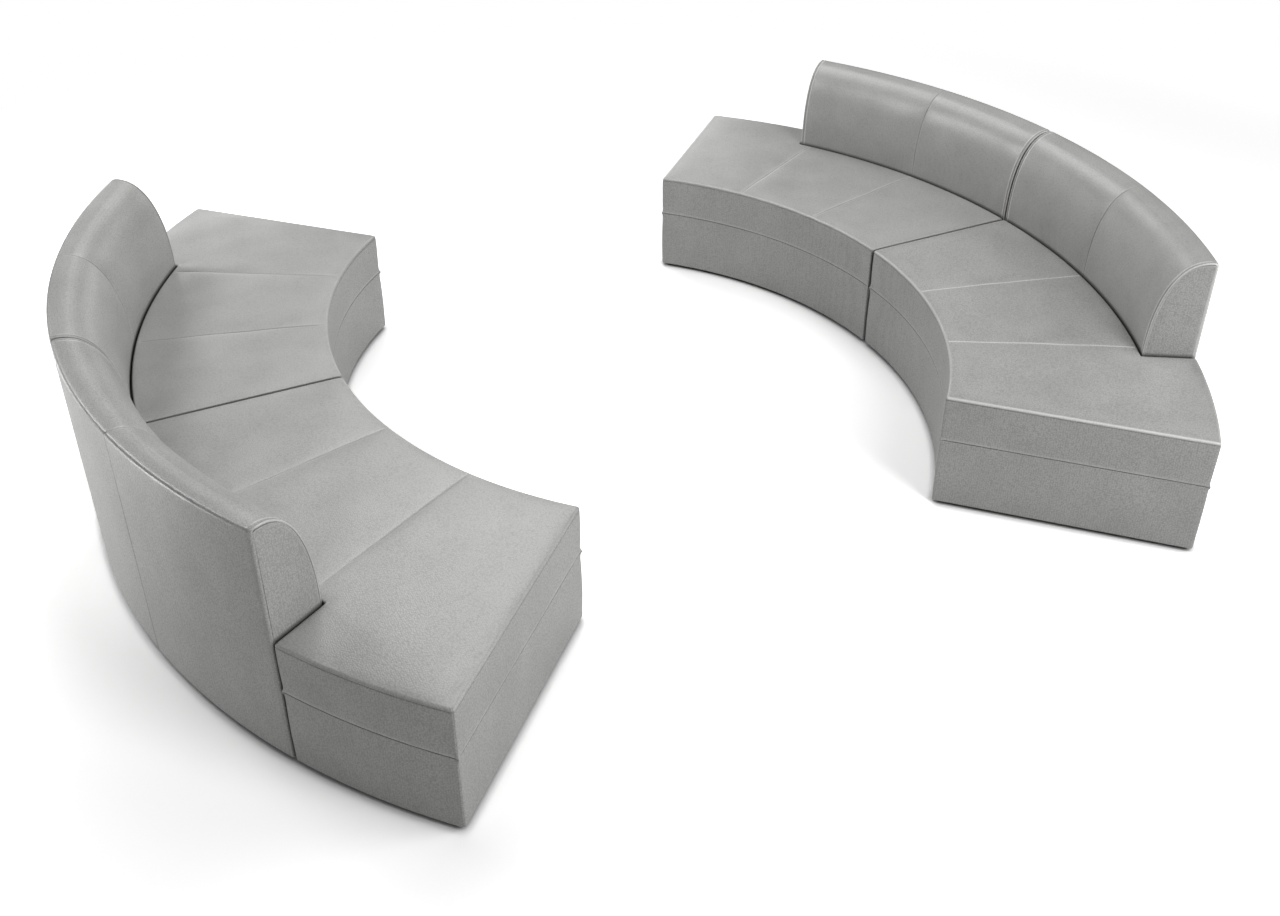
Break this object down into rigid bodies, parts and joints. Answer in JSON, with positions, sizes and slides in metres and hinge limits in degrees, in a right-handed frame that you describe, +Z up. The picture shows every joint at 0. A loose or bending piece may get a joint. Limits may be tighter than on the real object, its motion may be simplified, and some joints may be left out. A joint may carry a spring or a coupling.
{
  "type": "round sofa",
  "caption": "Round lounge sofa of curved upholstered modules in two facing crescents, with low backs along most of the outer arc and open seat ends",
  "frame": {"origin": "on the floor, at the middle of the set between the two crescents", "axes": "+Z up; +X towards the right crescent, through the joints of both crescents; +Y towards the far modules"},
  "size_m": [4.09, 3.4308, 0.836],
  "materials": {
    "cover": "satin",
    "plywood": "matte",
    "dust_cloth": "matte",
    "glide": "satin",
    "hook_steel": "satin",
    "screw_steel": "satin"
  },
  "bodies": {
    "sofa": {"seat_cushion_far_right": "cover", "seat_deck_far_right": "plywood", "base_cover_far_right": "cover", "base_frame_far_right": "plywood", "dust_cover_far_right": "dust_cloth", "back_cushion_far_right": "cover", "back_frame_far_right": "plywood", "seat_cushion_near_right": "cover", "seat_deck_near_right": "plywood", "base_cover_near_right": "cover", "base_frame_near_right": "plywood", "dust_cover_near_right": "dust_cloth", "back_cushion_near_right": "cover", "back_frame_near_right": "plywood", "seat_cushion_far_left": "cover", "seat_deck_far_left": "plywood", "base_cover_far_left": "cover", "base_frame_far_left": "plywood", "dust_cover_far_left": "dust_cloth", "back_cushion_far_left": "cover", "back_frame_far_left": "plywood", "seat_cushion_near_left": "cover", "seat_deck_near_left": "plywood", "base_cover_near_left": "cover", "base_frame_near_left": "plywood", "dust_cover_near_left": "dust_cloth", "back_cushion_near_left": "cover", "back_frame_near_left": "plywood", "hook_pivot_right_inner": "screw_steel", "hook_catch_right_inner": "screw_steel", "hook_pivot_right_outer": "screw_steel", "hook_catch_right_outer": "screw_steel", "hook_pivot_left_inner": "screw_steel", "hook_catch_left_inner": "screw_steel", "hook_pivot_left_outer": "screw_steel", "hook_catch_left_outer": "screw_steel"},
    "glide_far_right_inner_joint": {"glide_far_right_inner_joint": "glide"},
    "glide_far_right_outer_joint": {"glide_far_right_outer_joint": "glide"},
    "glide_far_right_inner_end": {"glide_far_right_inner_end": "glide"},
    "glide_far_right_outer_end": {"glide_far_right_outer_end": "glide"},
    "glide_near_right_inner_joint": {"glide_near_right_inner_joint": "glide"},
    "glide_near_right_outer_joint": {"glide_near_right_outer_joint": "glide"},
    "glide_near_right_inner_end": {"glide_near_right_inner_end": "glide"},
    "glide_near_right_outer_end": {"glide_near_right_outer_end": "glide"},
    "glide_far_left_inner_joint": {"glide_far_left_inner_joint": "glide"},
    "glide_far_left_outer_joint": {"glide_far_left_outer_joint": "glide"},
    "glide_far_left_inner_end": {"glide_far_left_inner_end": "glide"},
    "glide_far_left_outer_end": {"glide_far_left_outer_end": "glide"},
    "glide_near_left_inner_joint": {"glide_near_left_inner_joint": "glide"},
    "glide_near_left_outer_joint": {"glide_near_left_outer_joint": "glide"},
    "glide_near_left_inner_end": {"glide_near_left_inner_end": "glide"},
    "glide_near_left_outer_end": {"glide_near_left_outer_end": "glide"},
    "gang_hook_right_inner": {"gang_hook_right_inner": "hook_steel"},
    "gang_hook_right_outer": {"gang_hook_right_outer": "hook_steel"},
    "gang_hook_left_inner": {"gang_hook_left_inner": "hook_steel"},
    "gang_hook_left_outer": {"gang_hook_left_outer": "hook_steel"}
  },
  "joints": [
    {"name": "level_far_right_inner_joint", "type": "slide", "parent": "sofa", "child": "glide_far_right_inner_joint", "axis": [0, 0, -1], "range_m": [0, 0.01]},
    {"name": "level_far_right_outer_joint", "type": "slide", "parent": "sofa", "child": "glide_far_right_outer_joint", "axis": [0, 0, -1], "range_m": [0, 0.01]},
    {"name": "level_far_right_inner_end", "type": "slide", "parent": "sofa", "child": "glide_far_right_inner_end", "axis": [0, 0, -1], "range_m": [0, 0.01]},
    {"name": "level_far_right_outer_end", "type": "slide", "parent": "sofa", "child": "glide_far_right_outer_end", "axis": [0, 0, -1], "range_m": [0, 0.01]},
    {"name": "level_near_right_inner_joint", "type": "slide", "parent": "sofa", "child": "glide_near_right_inner_joint", "axis": [0, 0, -1], "range_m": [0, 0.01]},
    {"name": "level_near_right_outer_joint", "type": "slide", "parent": "sofa", "child": "glide_near_right_outer_joint", "axis": [0, 0, -1], "range_m": [0, 0.01]},
    {"name": "level_near_right_inner_end", "type": "slide", "parent": "sofa", "child": "glide_near_right_inner_end", "axis": [0, 0, -1], "range_m": [0, 0.01]},
    {"name": "level_near_right_outer_end", "type": "slide", "parent": "sofa", "child": "glide_near_right_outer_end", "axis": [0, 0, -1], "range_m": [0, 0.01]},
    {"name": "level_far_left_inner_joint", "type": "slide", "parent": "sofa", "child": "glide_far_left_inner_joint", "axis": [0, 0, -1], "range_m": [0, 0.01]},
    {"name": "level_far_left_outer_joint", "type": "slide", "parent": "sofa", "child": "glide_far_left_outer_joint", "axis": [0, 0, -1], "range_m": [0, 0.01]},
    {"name": "level_far_left_inner_end", "type": "slide", "parent": "sofa", "child": "glide_far_left_inner_end", "axis": [0, 0, -1], "range_m": [0, 0.01]},
    {"name": "level_far_left_outer_end", "type": "slide", "parent": "sofa", "child": "glide_far_left_outer_end", "axis": [0, 0, -1], "range_m": [0, 0.01]},
    {"name": "level_near_left_inner_joint", "type": "slide", "parent": "sofa", "child": "glide_near_left_inner_joint", "axis": [0, 0, -1], "range_m": [0, 0.01]},
    {"name": "level_near_left_outer_joint", "type": "slide", "parent": "sofa", "child": "glide_near_left_outer_joint", "axis": [0, 0, -1], "range_m": [0, 0.01]},
    {"name": "level_near_left_inner_end", "type": "slide", "parent": "sofa", "child": "glide_near_left_inner_end", "axis": [0, 0, -1], "range_m": [0, 0.01]},
    {"name": "level_near_left_outer_end", "type": "slide", "parent": "sofa", "child": "glide_near_left_outer_end", "axis": [0, 0, -1], "range_m": [0, 0.01]},
    {"name": "swing_hook_right_inner", "type": "hinge", "parent": "sofa", "child": "gang_hook_right_inner", "pos_m": [1.2981, 0.055, 0.0083], "axis": [0, 0, 1], "range_deg": [0, 100]},
    {"name": "swing_hook_right_outer", "type": "hinge", "parent": "sofa", "child": "gang_hook_right_outer", "pos_m": [1.6929, 0.055, 0.0083], "axis": [0, 0, 1], "range_deg": [0, 100]},
    {"name": "swing_hook_left_inner", "type": "hinge", "parent": "sofa", "child": "gang_hook_left_inner", "pos_m": [-1.2981, 0.055, 0.0083], "axis": [0, 0, -1], "range_deg": [0, 100]},
    {"name": "swing_hook_left_outer", "type": "hinge", "parent": "sofa", "child": "gang_hook_left_outer", "pos_m": [-1.6929, 0.055, 0.0083], "axis": [0, 0, -1], "range_deg": [0, 100]}
  ]
}
